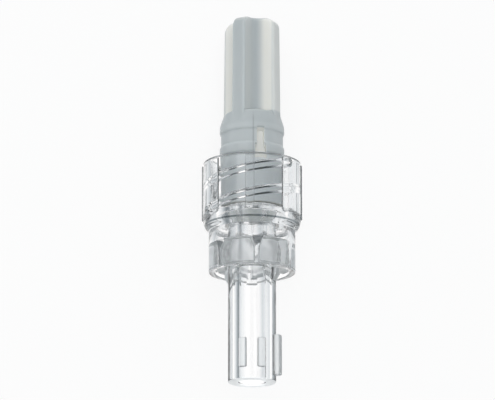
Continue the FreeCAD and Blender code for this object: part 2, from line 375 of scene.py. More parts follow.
def stop_lugs():
    """Ramped lugs that hold the collar on."""
    inner = TUBE_RADIUS - EMBED
    reach = TOOTH_INNER_RADIUS + STOP_LUG_BITE
    low = STOP_LUG_TOP - STOP_LUG_LENGTH
    lug = rounded_face([
        (inner, low, 0),
        (TUBE_RADIUS, low, 0),
        (reach, low + STOP_LUG_RAMP, BODY_EDGE),
        (reach, STOP_LUG_TOP, BODY_EDGE),
        (inner, STOP_LUG_TOP, 0),
    ])
    return spread(thickened(lug, STOP_LUG_WIDTH), STOP_LUG_ANGLES)


def luer_body():
    body = tube_and_tip()
    for added in (key_tab(), finger_lugs(), stop_lugs()):
        body = combined(body, added, "UNION")
    return body


# Collar

def collar_blank():
    """Cup, floor, skirt and the ring that the teeth are cut from."""
    edge = COLLAR_EDGE
    return turned([
        (SKIRT_INNER_RADIUS, COLLAR_FOOT, edge),
        (SKIRT_RADIUS, COLLAR_FOOT, edge),
        (SKIRT_RADIUS, SHOULDER_FOOT, edge / 2),
        (CUP_RADIUS - SKIRT_INSET / 3, SHOULDER_FOOT + SHOULDER_HEIGHT / 3, SKIRT_INSET / 3),
        (CUP_RADIUS, SHOULDER_TOP, SKIRT_INSET / 3),
        (CUP_RADIUS, COLLAR_RIM, edge),
        (THREAD_MAJOR_RADIUS, COLLAR_RIM, edge),
        (THREAD_MAJOR_RADIUS, FLOOR_TOP, edge),
        (HOLE_RADIUS, FLOOR_TOP, edge / 2),
        (HOLE_RADIUS, FLOOR_UNDERSIDE, edge / 2),
        (SKIRT_INNER_RADIUS, FLOOR_UNDERSIDE, edge),
        (SKIRT_INNER_RADIUS, TEETH_TOP, edge / 2),
        (TOOTH_INNER_RADIUS, TEETH_TOP, edge),
        (TOOTH_INNER_RADIUS, TEETH_FOOT, edge),
        (SKIRT_INNER_RADIUS, TEETH_FOOT, edge / 2),
    ])


def thread_ridges():
    """Both starts of the thread, each with a rounded nose at its upper end."""
    low = FLOOR_TOP + THREAD_CREST_WIDTH / 2
    high = COLLAR_RIM - THREAD_TOP_GAP - THREAD_ROOT_WIDTH / 2
    ridge_height = THREAD_MAJOR_RADIUS - THREAD_MINOR_RADIUS
    slope = (THREAD_ROOT_WIDTH - THREAD_CREST_WIDTH) / 2 / ridge_height
    sunk_radius = THREAD_MAJOR_RADIUS + EMBED
    sunk_half = THREAD_ROOT_WIDTH / 2 + slope * EMBED
    crest_half = THREAD_CREST_WIDTH / 2
    crest_round = THREAD_CREST_WIDTH * CORNER_SHARE
    ridge = rounded_face([
        (THREAD_MINOR_RADIUS, -crest_half, crest_round),
        (sunk_radius, -sunk_half, 0),
        (sunk_radius, sunk_half, 0),
        (THREAD_MINOR_RADIUS, crest_half, crest_round),
    ])
    turn = math.tau * (high - low) / THREAD_LEAD
    steps = round(TURN_STEPS * turn / math.tau)
    rise = (high - low) / steps
    swept = bmesh.ops.spin(ridge, geom=ridge.faces[:], cent=(0, 0, 0), axis=(0, 1, 0),
                           dvec=(0, rise, 0), angle=turn, steps=steps)
    round_nose(ridge, swept["geom_last"], turn)
    bmesh.ops.translate(ridge, verts=ridge.verts, vec=(0, low, 0))
    first = THREAD_TOP_ANGLE - math.degrees(turn)
    return spread(welded(ridge), round_the_axis(THREAD_STARTS, first))


def round_nose(bm, last, turn):
    """Carry the swept end on a little, narrowing it in a quarter circle."""
    run = Vector((THREAD_MAJOR_RADIUS * math.cos(turn), THREAD_LEAD / math.tau,
                  -THREAD_MAJOR_RADIUS * math.sin(turn))).normalized()
    half = THREAD_ROOT_WIDTH / 2
    steps = 2 * ROUND_STEPS
    face = [item for item in last if isinstance(item, bmesh.types.BMFace)]
    for i in range(1, steps):
        before = math.pi / 2 * (i - 1) / steps
        now = math.pi / 2 * i / steps
        grown = bmesh.ops.extrude_face_region(bm, geom=face)["geom"]
        bmesh.ops.delete(bm, geom=face, context="FACES_ONLY")
        face = [item for item in grown if isinstance(item, bmesh.types.BMFace)]
        verts = [item for item in grown if isinstance(item, bmesh.types.BMVert)]
        bmesh.ops.translate(bm, verts=verts, vec=run * half * (math.sin(now) - math.sin(before)))
        middle = sum((v.co.y for v in verts)) / len(verts)
        narrower = math.cos(now) / math.cos(before)
        bmesh.ops.scale(bm, verts=verts, vec=(1, narrower, 1),
                        space=Matrix.Translation((0, -middle, 0)))


def grip_ribs():
    """Low pads down the cup's wall, each with a round foot."""
    outer = CUP_RADIUS + RIB_HEIGHT
    low = SHOULDER_TOP + RIB_FOOT_GAP
    high = COLLAR_RIM - RIB_TOP_GAP
    pad = block(RIB_WIDTH, (low, high), (CUP_RADIUS - EMBED, outer + EMBED))
    middle_station = (low + high) / 2
    pad = bevelled(pad, RIB_WIDTH / 2 * NEARLY, 2 * ROUND_STEPS,
                   lambda middle, edge: along(edge, 2) and middle.y < middle_station)
    limit = cylinder(outer, low - BEYOND, high + BEYOND)
    rib = soft_topped(combined(pad, limit, "INTERSECT"), CUP_RADIUS, RIB_EDGE)
    return spread(rib, round_the_axis(RIB_COUNT, RIB_FIRST_ANGLE))


def radial_prism(points, inner, outer):
    """Prism through the wall at angle 0, from points (across, station)."""
    bm = bmesh.new()
    bm.faces.new([bm.verts.new((across, station, inner)) for across, station in points])
    grown = bmesh.ops.extrude_face_region(bm, geom=bm.faces[:])["geom"]
    verts = [item for item in grown if isinstance(item, bmesh.types.BMVert)]
    bmesh.ops.translate(bm, verts=verts, vec=(0, 0, outer - inner))
    return welded(bm)


def tooth_slots():
    """Slots between the teeth, each opening into a notch at the top."""
    half = SLOT_WIDTH / 2
    mouth = SLOT_MOUTH_WIDTH / 2
    slot = radial_prism([
        (-half, TEETH_FOOT - TOOTH_RECESS / 2),
        (half, TEETH_FOOT - TOOTH_RECESS / 2),
        (half, TEETH_TOP - SLOT_MOUTH_HEIGHT),
        (mouth, TEETH_TOP),
        (mouth, TEETH_TOP + EMBED),
        (-mouth, TEETH_TOP + EMBED),
        (-mouth, TEETH_TOP),
        (-half, TEETH_TOP - SLOT_MOUTH_HEIGHT),
    ], TOOTH_INNER_RADIUS - BEYOND, SKIRT_RADIUS)
    limit = cylinder(SKIRT_INNER_RADIUS - SHELL_GAP, COLLAR_FOOT, FLOOR_TOP)
    slot = combined(slot, limit, "INTERSECT")
    return spread(slot, round_the_axis(SLOT_COUNT, SLOT_FIRST_ANGLE))


def key_slot():
    """Slot through the teeth and the floor that the key tab passes at assembly."""
    half = KEY_TAB_THICKNESS / 2 + KEY_SLOT_CLEARANCE
    reach = KEY_TAB_REACH + KEY_SLOT_CLEARANCE
    slot = block(2 * half, (TEETH_FOOT - TOOTH_RECESS / 2, FLOOR_TOP + BEYOND), (0, CUP_RADIUS))
    slot = combined(slot, cylinder(reach, COLLAR_FOOT, FLOOR_TOP + BEYOND), "INTERSECT")
    return spread(slot, [SLOT_FIRST_ANGLE + 360 * KEY_SLOT_INDEX / SLOT_COUNT])


def collar():
    shell = collar_blank()
    for added in (thread_ridges(), grip_ribs()):
        shell = combined(shell, added, "UNION")
    for cutter in (tooth_slots(), key_slot()):
        shell = combined(shell, cutter, "DIFFERENCE")
    return shell


# Cap

def bore_radius(station):
    return luer_radius(station) + CAP_BORE_CLEARANCE


def barrel():
    """Bored barrel with its two beads and the crown under the handle."""
    edge = BARREL_EDGE
    bead_radius = BARREL_RADIUS + BEAD_HEIGHT
    lower_bead_foot = LOWER_BEAD_TOP - LOWER_BEAD_WIDTH
    return turned([
        (bore_radius(BARREL_FOOT) + BORE_LEAD, BARREL_FOOT, 0),
        (BARREL_RADIUS, BARREL_FOOT, edge),
        (BARREL_RADIUS, lower_bead_foot, edge),
        (bead_radius, lower_bead_foot + BEAD_HEIGHT, edge),
        (bead_radius, LOWER_BEAD_TOP - BEAD_HEIGHT, edge),
        (BARREL_RADIUS, LOWER_BEAD_TOP, edge),
        (BARREL_RADIUS, UPPER_BEAD_FOOT, edge / 2),
        (bead_radius, UPPER_BEAD_FOOT + BEAD_HEIGHT, edge),
        (bead_radius, UPPER_BEAD_TOP, 2 * edge),
        (BARREL_SHOULDER_RADIUS, BARREL_TOP, edge),
        (FIN_THICKNESS / 2, BARREL_TOP + HANDLE_DOME, 0),
        (0, BARREL_TOP + HANDLE_DOME, 0),
        (0, BORE_END, 0),
        (bore_radius(BORE_END), BORE_END, edge),
        (bore_radius(BARREL_FOOT + BORE_LEAD), BARREL_FOOT + BORE_LEAD, 0),
    ])


def vent_grooves():
    """Grooves up the barrel, midway between the fins, each with a wide foot."""
    bead_foot = LOWER_BEAD_TOP - LOWER_BEAD_WIDTH
    low = bead_foot - VENT_WIDTH
    groove = combined(sloping_groove(VENT_WIDTH, low, UPPER_BEAD_FOOT - VENT_DEPTH / 2),
                      sloping_groove(VENT_FOOT_WIDTH, low, bead_foot + VENT_FOOT_RISE), "UNION")
    return spread(groove, round_the_axis(VENT_COUNT, FIN_FIRST_ANGLE + 45))


def sloping_groove(width, low, high):
    """Cutter for a flat-bottomed groove at angle 0 whose upper end slopes outwards."""
    bottom = BARREL_RADIUS - VENT_DEPTH
    outside = BARREL_RADIUS + BEYOND
    side = rounded_face([(bottom, low, 0), (outside, low, 0),
                         (outside, high + outside - bottom, 0), (bottom, high, 0)])
    return thickened(side, width)


def thickened(bm, width):
    """A flat face in the plane of angle 0 made a closed plate across that plane."""
    grown = bmesh.ops.extrude_face_region(bm, geom=bm.faces[:])["geom"]
    moved = [item for item in grown if isinstance(item, bmesh.types.BMVert)]
    bmesh.ops.translate(bm, verts=moved, vec=(width, 0, 0))
    bmesh.ops.translate(bm, verts=bm.verts, vec=(-width / 2, 0, 0))
    return welded(bm)


def cross_handle():
    """Four fins on one core, with hollow fillets between them and round outer corners and edges."""
    foot = BORE_END + CAP_CROWN_THICKNESS / 2
    half = FIN_THICKNESS / 2
    corner = [(half, HANDLE_FOOT_RADIUS), (half, half), (HANDLE_FOOT_RADIUS, half)]
    bm = bmesh.new()
    verts = []
    for quarter in range(4):
        turn = axis_turn(90 * quarter)
        verts += [bm.verts.new(turn @ Vector((x, foot, z))) for x, z in corner]
    bm.faces.new(verts)
    for vert in verts[1::3]:
        bmesh.ops.bevel(bm, geom=[vert], offset=FIN_ROOT_FILLET, affect="VERTICES",
                        segments=2 * ROUND_STEPS, profile=0.5, material=-1)
    grown = bmesh.ops.extrude_face_region(bm, geom=bm.faces[:])["geom"]
    top = [item for item in grown if isinstance(item, bmesh.types.BMVert)]
    bmesh.ops.translate(bm, verts=top, vec=(0, HANDLE_TOP - foot, 0))
    narrowing = HANDLE_TOP_RADIUS / HANDLE_FOOT_RADIUS
    on_arms = half + FIN_ROOT_FILLET + WELD
    bmesh.ops.scale(bm, verts=[v for v in top if abs(v.co.x) > on_arms], vec=(narrowing, 1, 1))
    bmesh.ops.scale(bm, verts=[v for v in top if abs(v.co.z) > on_arms], vec=(1, 1, narrowing))
    bm = bevelled(bm, HANDLE_TOP_CORNER, 2 * ROUND_STEPS,
                  lambda middle, edge: middle.y > HANDLE_TOP - WELD
                  and math.hypot(middle.x, middle.z) > HANDLE_TOP_RADIUS - WELD)
    bmesh.ops.poke(bm, faces=[max(bm.faces, key=lambda face: face.calc_center_median().y)])
    for vert in bm.verts:
        if vert.co.y > foot + WELD:
            from_middle = math.hypot(vert.co.x, vert.co.z) / HANDLE_TOP_RADIUS
            vert.co.y -= HANDLE_TOP_CROWN * from_middle
    bm = bevelled(welded(bm), FIN_EDGE, ROUND_STEPS,
                  lambda middle, edge: edge.calc_face_angle(0) > SHARP and middle.y > foot + WELD)
    return spread(bm, [FIN_FIRST_ANGLE])


def cap():
    shell = combined(barrel(), cross_handle(), "UNION")
    return combined(shell, vent_grooves(), "DIFFERENCE")


# Materials

# Clear plastic
LAMP_LIGHT_PASSED = (0.98, 0.985, 0.99)      # by each face
BODY_TINTS = ((0.99, 0.995, 1.0), (0.98, 0.99, 0.995))
COLLAR_TINTS = ((0.992, 0.995, 0.998), (0.982, 0.988, 0.992))
CLEAR_INDEX = 1.5            # of refraction
POLISHED = 0.015             # roughness of the clean plastic
SCUFFED = 0.03               # what scuffs add to it at most
FLOW_SCALE = 900             # noise that draws the ripples left by the melt
FLOW_STRETCH = 6             # how far they are drawn out along the axis
SCUFF_SCALE = 4200
SCUFF_STRETCH = 14
SCUFF_DETAIL = 4.0
FROST_SCALE = 2600
FROST_ROUGHNESS = 0.3
FROST_DEPTH = 3.0            # against the depth of the flow ripples
FROST_CLOUD = 0.8            # most of the share of dull white in a frosted face
FROST_COLOUR = (0.86, 0.89, 0.9)
RIPPLE_STRENGTH = 0.25
RIPPLE_HEIGHT = 0.000004
# Painted light: colour of the glow painted on the tube's cut end
PAINTED_GLOW_COLOUR = (0.95, 0.98, 1)
CUT_END_PAINTED_GLOW = 0.55          # painted light: a glow for the light that the tube's wall carries to its cut end
TEETH_FROST = 0.85           # frost on the collar's teeth against that on the tube's lugs
RIB_FROST = 0.2              # and on its grip ribs
EDGE_SHADE_TINT = (0.1, 0.12, 0.13)     # painted shade: the dark tint of the light that passes a narrow rounded edge
RIB_EDGE_SHADE = 0.7            # share of that painted shade on the edges of the grip ribs
RIM_EDGE_SHADE = 0.8            # and on the collar's rim
SHOULDER_EDGE_SHADE = 1.0       # and on its shoulder
LUG_EDGE_SHADE = 0.5            # and on the edges of the tube's lugs
NOTCH_SHADE = 0.65           # and on the skirt's wall behind the notches of the teeth

# How far in millimetres from a wall, edge or end a look by place starts and is whole
FACE_FADE = (0.02, 0.06)     # a face raised from a wall or sunk in it
LUG_FADE = (0.01, 0.05)
TEETH_TOP_FADE = (0.02, 0.08)
RIB_FOOT_FADE = (0.005, 0.015)
RIB_CREST_FADE = (-0.02, -0.005)
LUG_FOOT_FADE = (0.01, 0.03)
LUG_CREST_FADE = (-0.03, -0.005)
TAB_CREST_FADE = (-0.12, -0.04)
RIM_FADE = (-0.14, -0.08)
SHOULDER_RADIUS_FADE = (0, 0.1)
SHOULDER_LINE_FOOT = (-0.6, -0.52)
SHOULDER_LINE_TOP = (-0.42, -0.34)
NOTCH_FADE = (-0.03, 0.03)
NOTCH_TOP_FADE = (0, 0.03)
NOTCH_WALL_FADE = (0.02, 0.05)
TAB_SIDE_FADE = (0.45, 0.5)
UPPER_SIDE_FADE = (0, 1)
STOP_LUG_FADE = (0, 0.1)
CUT_END_FADE = (BODY_EDGE * 0.2, BODY_EDGE * 0.8)

# Milky plastic
MILKY_INDEX = 1.5
SATIN = 0.28                 # least roughness
GRAIN_ROUGHNESS = 0.14       # what the grain adds to it at most
GRAIN_SCALE = 5200
GRAIN_DETAIL = 3.0
GRAIN_STRENGTH = 0.3
GRAIN_HEIGHT = 0.000012
CLOUD_SCALE = 320
CLOUD_STRETCH = 3
THICK_COLOURS = ((0.49, 0.53, 0.545), (0.53, 0.565, 0.575))
# Painted light: pale colours laid on the milky plastic where light gets through thin walls and webs,
# and where the collar's and fins' shade falls
PAINTED_WALL_LIGHT_COLOUR = (0.77, 0.81, 0.825)
PAINTED_BACKLIGHT_COLOUR = (0.81, 0.81, 0.78)
# Painted light: colour of the glow painted in the bore
PAINTED_BORE_LIGHT_COLOUR = (0.93, 0.98, 1)
SEAM_COLOUR = (0.1, 0.11, 0.12)
LIGHT_REACH = (1.0, 0.98, 0.94)      # of each colour under the surface
LIGHT_DEPTH = 0.0006
PAINTED_BORE_GLOW = 0.25             # painted light: a glow for the light that comes through the barrel's wall into its bore
PARTING_SHADE = 0.25         # how much darker the barrel's parting line is
PARTING_ANGLE = -17.6
PARTING_WIDTH = 0.1
PARTING_SIDE_FADE = (1, 2)   # above the axis, so that the line is on one side only
PARTING_TOP = 0.8            # above the foot of the upper bead, where the line starts to fade
VENT_PAINTED_LIGHT = 0.9          # share of the pale colour in the thin walls of the barrel: painted light where light gets through
BARREL_PAINTED_LIGHT = 0.15       # and on its whole wall
FOOT_PAINTED_LIGHT = 0.7          # and on the part of it that the collar covers: painted light against the collar's shade
FIN_TIP_PAINTED_LIGHT = 0.5       # and at the ends of the plate with pale webs: painted light
FIRST_PLATE_PAINTED_LIGHT = 0.2   # and in the plate of the cross that stands nearly upright: painted light
WEB_FADE = (0.9, 1.9)        # from the axis, where the pale colour of a web comes in
WEB_END_FADE = (-0.3, -0.1)
HANDLE_FOOT_FADE = (0, 0.3)
HANDLE_TOP_FADE = (-0.35, -0.1)
VENT_TOP_FADE = (0.3, 0.5)
COVER_FADE = (-0.1, 0.1)
BORE_FADE = (0.1, 0.2)


class Socket:
    """An output of a shader tree that takes part in Python sums."""

    def __init__(self, tree, output):
        self.tree = tree
        self.output = output

    def __add__(self, other):
        return self.tree.maths("ADD", self, other)

    def __radd__(self, other):
        return self.tree.maths("ADD", other, self)

    def __sub__(self, other):
        return self.tree.maths("SUBTRACT", self, other)

    def __rsub__(self, other):
        return self.tree.maths("SUBTRACT", other, self)

    def __mul__(self, other):
        return self.tree.maths("MULTIPLY", self, other)

    def __rmul__(self, other):
        return self.tree.maths("MULTIPLY", other, self)


class Tree:
    """A material's or the world's shader tree, emptied and ready for new nodes."""

    def __init__(self, owner):
        owner.use_nodes = True
        self.nodes = owner.node_tree.nodes
        self.links = owner.node_tree.links
        self.nodes.clear()

    def node(self, kind, settings=None, values=(), output=0):
        """Add a node: settings first, then the values or links of its sockets."""
        node = self.nodes.new(kind)
        for key, setting in (settings or {}).items():
            setattr(node, key, setting)
        pairs = values.items() if isinstance(values, dict) else enumerate(values)
        for key, value in pairs:
            if isinstance(value, Socket):
                self.links.new(value.output, node.inputs[key])
            else:
                node.inputs[key].default_value = value
        if not len(node.outputs):
            return node
        return Socket(self, node.outputs[output])

    def maths(self, operation, *values):
        return self.node("ShaderNodeMath", {"operation": operation}, values)

    def mixed(self, share, first, second):
        """Colour between two others, each a socket or three numbers."""
        first, second = [colour if isinstance(colour, Socket) else (*colour, 1)
                         for colour in (first, second)]
        return self.node("ShaderNodeMix", {"data_type": "RGBA"}, {0: share, 6: first, 7: second},
                         output=2)

    def parts(self, vector):
        """The three parts of a vector."""
        return [self.node("ShaderNodeSeparateXYZ", {}, (vector,), output=i) for i in range(3)]

    def ramp(self, value, stops):
        """Colour by a value from 0 to 1, from {place: colour}."""
        socket = self.node("ShaderNodeValToRGB", {}, (value,))
        ramp = socket.output.node.color_ramp
        for element, place in zip((ramp.elements[0], ramp.elements[1]), (min(stops), max(stops))):
            element.position = place
        for place in sorted(stops)[1:-1]:
            ramp.elements.new(place)
        for element, place in zip(ramp.elements, sorted(stops)):
            element.color = stops[place]
        return socket

    def rise(self, value, edge, fade):
        """From 0 to 1 as a value passes an edge, the fade being the two distances from it."""
        return self.node("ShaderNodeMapRange", {"interpolation_type": "SMOOTHSTEP"}, {
            "Value": value, "From Min": edge + fade[0], "From Max": edge + fade[1]})

    def fall(self, value, edge, fade):
        """From 1 to 0 in the same way."""
        return self.node("ShaderNodeMapRange", {"interpolation_type": "SMOOTHSTEP"}, {
            "Value": value, "From Min": edge + fade[0], "From Max": edge + fade[1],
            "To Min": 1.0, "To Max": 0.0})


def mirrored(fade):
    """The same fade on the near side of an edge."""
    return -fade[1], -fade[0]


def new_tree(name):
    material = bpy.data.materials.new(name)
    return material, Tree(material)


def stretched_noise(tree, scale, stretch, detail=2.0):
    """Noise on the object's own coordinates, drawn out along the connector's axis."""
    place = tree.node("ShaderNodeTexCoord", output=3)
    drawn = tree.node("ShaderNodeMapping", {}, {"Vector": place, "Scale": (1, 1 / stretch, 1)})
    return tree.node("ShaderNodeTexNoise", {}, {"Vector": drawn, "Scale": scale, "Detail": detail})


def about_the_axis(tree, angle):
    """Millimetres across, along and up from the axis, seen from an angle about it."""
    place = tree.node("ShaderNodeTexCoord", output=3)
    from_axis = tree.node("ShaderNodeVectorMath", {"operation": "SUBTRACT"},
                          (place, (0, -HANDLE_TOP / 2 * MM, CUP_RADIUS * MM)))
    in_mm = tree.node("ShaderNodeVectorMath", {"operation": "SCALE"}, {0: from_axis, 3: 1 / MM})
    turned_back = tree.node("ShaderNodeVectorRotate", {"rotation_type": "Y_AXIS"},
                            {"Vector": in_mm, "Angle": math.radians(-angle)})
    return tree.parts(turned_back)


def out_and_along(tree):
    """Millimetres out from the axis and along it."""
    across, station, height = about_the_axis(tree, 0)
    return tree.maths("SQRT", across * across + height * height), station


def clear_plastic(name, tints, by_place):
    """Polished clear plastic with faint flow ripples and fine scuffs, frosted in places, with painted
    shade along narrow edges and a painted glow where by_place gives one.
    """
    material, tree = new_tree(name)
    flow = stretched_noise(tree, FLOW_SCALE, FLOW_STRETCH)
    scuffs = stretched_noise(tree, SCUFF_SCALE, SCUFF_STRETCH, SCUFF_DETAIL)
    spark = stretched_noise(tree, FROST_SCALE, 1, GRAIN_DETAIL)
    frost, glow, painted_shade = by_place(tree)
    # Painted shade: a dark tint where clear plastic shows dark lines along narrow rounded edges
    colour = tree.mixed(painted_shade, tree.mixed(flow, *tints), EDGE_SHADE_TINT)
    bump = tree.node("ShaderNodeBump", {}, {
        "Strength": RIPPLE_STRENGTH, "Distance": RIPPLE_HEIGHT,
        "Height": flow + spark * frost * FROST_DEPTH})
    # Painted light: an emission glow where by_place gives one
    polished = tree.node("ShaderNodeBsdfPrincipled", {}, {
        "Base Color": colour,
        "Roughness": POLISHED + SCUFFED * scuffs + frost * FROST_ROUGHNESS,
        "IOR": CLEAR_INDEX,
        "Transmission Weight": 1.0,
        "Normal": bump,
        **({"Emission Color": tree.mixed(glow, (0, 0, 0), PAINTED_GLOW_COLOUR), "Emission Strength": 1.0}
           if glow else {}),
    })
    cloudy = tree.node("ShaderNodeBsdfDiffuse", {}, {"Color": (*FROST_COLOUR, 1)})
    cloud = spark * frost * FROST_CLOUD * (1 - painted_shade)
    plastic = tree.node("ShaderNodeMixShader", {}, (cloud, polished, cloudy))
    shadow_ray = tree.node("ShaderNodeLightPath", output="Is Shadow Ray")
    passed_light = tree.node("ShaderNodeBsdfTransparent", {}, {"Color": (*LAMP_LIGHT_PASSED, 1)})
    surface = tree.node("ShaderNodeMixShader", {}, (shadow_ray, plastic, passed_light))
    tree.node("ShaderNodeOutputMaterial", {}, {"Surface": surface})
    return material


def on_collar(tree):
    """Part frost on the teeth and the grip ribs, no glow, and painted shade along the ribs' edges,
    the rim and the shoulder and behind the notches.
    """
    radius, station = out_and_along(tree)
    teeth = (tree.fall(radius, SKIRT_INNER_RADIUS, mirrored(FACE_FADE))
             * tree.fall(station, TEETH_TOP, TEETH_TOP_FADE))
    ribs = tree.rise(radius, CUP_RADIUS, FACE_FADE)
    # Painted shade along the ribs' edges, the collar's rim and its shoulder
    rib_edges = (tree.rise(radius, CUP_RADIUS, RIB_FOOT_FADE)
                 * tree.fall(radius, CUP_RADIUS + RIB_HEIGHT, RIB_CREST_FADE))
    rim = tree.rise(station, COLLAR_RIM, RIM_FADE)
    shoulder = (tree.rise(radius, SKIRT_RADIUS, SHOULDER_RADIUS_FADE)
                * tree.rise(station, SHOULDER_TOP, SHOULDER_LINE_FOOT)
                * tree.fall(station, SHOULDER_TOP, SHOULDER_LINE_TOP))
    painted_shade = (rib_edges * RIB_EDGE_SHADE + rim * RIM_EDGE_SHADE + shoulder * SHOULDER_EDGE_SHADE
               + behind_notches(tree, radius, station) * NOTCH_SHADE)
    return teeth * TEETH_FROST + ribs * RIB_FROST, None, painted_shade


def behind_notches(tree, radius, station):
    """Where painted shade goes: the triangles of the skirt's inner wall that the notches between the
    teeth lay bare.
    """
    across, _, height = about_the_axis(tree, SLOT_FIRST_ANGLE)
    from_slot = tree.maths("PINGPONG", tree.maths("ARCTAN2", across, height), math.pi / SLOT_COUNT)
    widening = SLOT_MOUTH_WIDTH / 2 / SLOT_MOUTH_HEIGHT
    half_width = (station - (TEETH_TOP - SLOT_MOUTH_HEIGHT)) * widening
    return (tree.rise(half_width - from_slot * SKIRT_INNER_RADIUS, 0, NOTCH_FADE)
            * tree.fall(station, TEETH_TOP, NOTCH_TOP_FADE)
            * tree.rise(radius, SKIRT_INNER_RADIUS, mirrored(NOTCH_WALL_FADE))
            * tree.fall(radius, SKIRT_INNER_RADIUS, NOTCH_WALL_FADE))


def on_body(tree):
    """Frost on all the tube's lugs and its cut end, a painted glow on that end, and painted shade
    along the lugs' edges.
    """
    radius, station = out_and_along(tree)
    lugs = (tree.rise(radius, TUBE_RADIUS, LUG_FADE)
            * tree.fall(station, TEETH_FOOT, STOP_LUG_FADE))
    end = tree.fall(station, 0, CUT_END_FADE)
    side, _, height = about_the_axis(tree, KEY_TAB_ANGLE)
    beside_tab = (tree.rise(side, 0, mirrored(TAB_SIDE_FADE)) * tree.fall(side, 0, TAB_SIDE_FADE)
                  * tree.rise(height, 0, UPPER_SIDE_FADE))
    # Painted shade along the edges of the finger lugs and the key tab's crest
    finger_lug_edges = (tree.rise(radius, TUBE_RADIUS, LUG_FOOT_FADE)
                        * tree.fall(radius, TUBE_RADIUS + FINGER_LUG_HEIGHT, LUG_CREST_FADE)
                        * (1 - beside_tab))
    edges = finger_lug_edges + tree.rise(radius, KEY_TAB_REACH, TAB_CREST_FADE)
    return tree.maths("MAXIMUM", lugs, end), end * CUT_END_PAINTED_GLOW, edges * LUG_EDGE_SHADE


def milky_plastic(name):
    """Soft translucent plastic: cloudy and satin, with painted light that makes it paler where the
    light gets through, and a painted glow in its bore.
    """
    material, tree = new_tree(name)
    radius, station = out_and_along(tree)
    cloud = stretched_noise(tree, CLOUD_SCALE, CLOUD_STRETCH)
    grain = stretched_noise(tree, GRAIN_SCALE, 1, GRAIN_DETAIL)
    # Painted light: the bore glows
    in_bore = (tree.fall(radius, bore_radius(BARREL_FOOT), BORE_FADE)
               * tree.fall(station, BORE_END, BORE_FADE))
    # Painted light: paler where light gets through thin parts and under the collar
    walls = tree.mixed(painted_barrel_light(tree, station), tree.mixed(cloud, *THICK_COLOURS), PAINTED_WALL_LIGHT_COLOUR)
    thin = tree.maths("MAXIMUM", painted_web_light(tree, station), painted_vent_light(tree, radius, station))
    colour = tree.mixed(thin, walls, PAINTED_BACKLIGHT_COLOUR)
    bump = tree.node("ShaderNodeBump", {}, {
        "Strength": GRAIN_STRENGTH, "Distance": GRAIN_HEIGHT, "Height": grain})
    surface = tree.node("ShaderNodeBsdfPrincipled", {}, {
        "Base Color": tree.mixed(parting_line(tree, station) * PARTING_SHADE, colour, SEAM_COLOUR),
        "Roughness": SATIN + GRAIN_ROUGHNESS * grain,
        "IOR": MILKY_INDEX,
        "Emission Color": tree.mixed(in_bore * PAINTED_BORE_GLOW, (0, 0, 0), PAINTED_BORE_LIGHT_COLOUR),
        "Emission Strength": 1.0,
        "Subsurface Weight": 1.0,
        "Subsurface Radius": LIGHT_REACH,
        "Subsurface Scale": LIGHT_DEPTH,
        "Normal": bump,
    })
    tree.node("ShaderNodeOutputMaterial", {}, {"Surface": surface})
    return material


def painted_web_light(tree, station):
    """Painted light that makes the handle's webs and the ends of its second plate pale."""
    across, _, height = about_the_axis(tree, FIN_FIRST_ANGLE)
    first_plate, second_plate = [tree.maths("ABSOLUTE", side) for side in (height, across)]
    first_web, second_web = [tree.rise(plate, 0, WEB_FADE)
                             * tree.fall(plate, HANDLE_TOP_RADIUS, WEB_END_FADE)
                             for plate in (first_plate, second_plate)]
    tips = tree.rise(second_plate, HANDLE_TOP_RADIUS, WEB_END_FADE) * FIN_TIP_PAINTED_LIGHT
    on_handle = (tree.rise(station, BARREL_TOP, HANDLE_FOOT_FADE)
                 * tree.fall(station, HANDLE_TOP, HANDLE_TOP_FADE))
    return tree.maths("MAXIMUM", second_web + tips, first_web * FIRST_PLATE_PAINTED_LIGHT) * on_handle


def painted_vent_light(tree, radius, station):
    """Painted light that makes the thin wall under the vent grooves pale."""
    return (tree.fall(radius, BARREL_RADIUS, mirrored(FACE_FADE))
            * tree.fall(station, UPPER_BEAD_FOOT, VENT_TOP_FADE) * VENT_PAINTED_LIGHT)


def painted_barrel_light(tree, station):
    """Painted light that makes the bored barrel pale, more so where the collar covers it."""
    covered = tree.fall(station, COLLAR_RIM, COVER_FADE)
    bored = tree.fall(station, BORE_END, (0, UPPER_BEAD_TOP - BORE_END))
    return bored * (BARREL_PAINTED_LIGHT + covered * (FOOT_PAINTED_LIGHT - BARREL_PAINTED_LIGHT))


def parting_line(tree, station):
    """The line that the halves of the mould leave up the barrel."""
    side, _, height = about_the_axis(tree, PARTING_ANGLE)
    fade = (PARTING_WIDTH / 3, PARTING_WIDTH)
    return (tree.rise(side, 0, mirrored(fade)) * tree.fall(side, 0, fade)
            * tree.rise(height, 0, PARTING_SIDE_FADE)
            * tree.fall(station, UPPER_BEAD_FOOT, (PARTING_TOP, BARREL_TOP - UPPER_BEAD_FOOT)))


# Setting

FLOOR_SIZE = 3.0
FLOOR_COLOUR = (0.92, 0.92, 0.92)
FLOOR_GLOW = 0.85            # share of its own white in the floor as the eye sees it
ROOM_LEVELS = {              # how bright the room is by degrees about the axis, 0 straight down
    -180: 0.06, -148: 0.1, -142: 1.1, -124: 1.1, -118: 0.1, -98: 0.1, -90: 0.75, -70: 0.75, -62: 0.3,
    -48: 0.24, -34: 0.45, -22: 0.72, -9: 0.88, 3: 1.0, 12: 1.13, 30: 1.1, 42: 0.8, 60: 0.8, 74: 0.9,
    95: 0.88, 112: 0.7, 132: 0.3, 150: 0.06, 180: 0.06}
ROOM_COOLNESS = (0.14, 0.0, -0.09)   # how much of each colour the dark parts of the room lose
ROOM_ENDS_START = 0.55       # past this much along the axis the room darkens
ROOM_ENDS_FULL = 0.92
ROOM_ENDS = 0.6              # to this share
ROOM_LIGHT = 0.5             # what the room itself gives to a dull surface
ROOM_LIGHT_COLOUR = (0.96, 0.99, 1)
SOFTBOX_ROLL = -20           # degrees about the axis, from straight above
